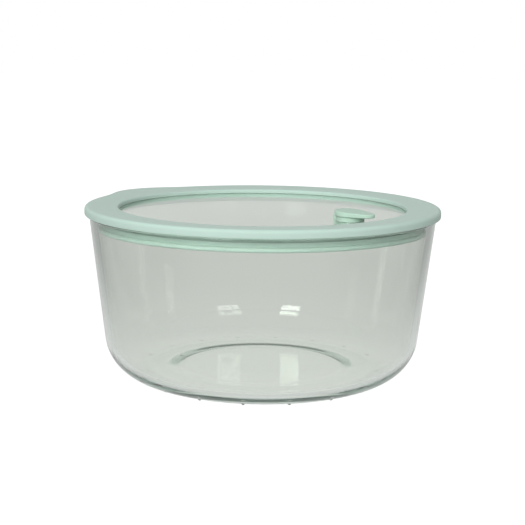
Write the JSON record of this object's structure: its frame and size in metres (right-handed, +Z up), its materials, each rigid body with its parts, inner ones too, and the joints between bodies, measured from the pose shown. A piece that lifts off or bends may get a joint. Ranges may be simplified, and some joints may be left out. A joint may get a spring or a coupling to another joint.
{
  "type": "glass storage container",
  "caption": "Round clear glass food storage bowl with a press-in lid: a glass window panel in a soft mint silicone rim with a lift tab, and a steam vent with a flip-up flap.",
  "frame": {"origin": "on the bowl's axis, on the plane of the flat foot ring that the bowl stands on", "axes": "+Z up along the bowl's axis; +X from the axis towards the vent, so the lift tab points to -X"},
  "size_m": [0.2134, 0.205, 0.1024],
  "materials": {
    "bowl_glass": "clear pressed and tempered glass with a faint green cast, fire-polished",
    "panel_glass": "clear flat tempered glass, polished",
    "rim_silicone": "mint silicone, matt moulded",
    "vent_silicone": "mint silicone, matt moulded"
  },
  "bodies": {
    "bowl": {"glass_bowl": "bowl_glass"},
    "lid": {"lid_rim": "rim_silicone", "lid_panel": "panel_glass", "vent_grommet": "vent_silicone"},
    "flap": {"vent_flap": "vent_silicone"}
  },
  "joints": [
    {"name": "lid_lift", "type": "slide", "parent": "bowl", "child": "lid", "axis": [0, 0, 1], "range_m": [0, 0.09]},
    {"name": "vent_flap_hinge", "type": "hinge", "parent": "lid", "child": "flap", "pos_m": [0.05576, 0, 0.10075], "axis": [0, -1, 0], "range_deg": [0, 140]}
  ]
}
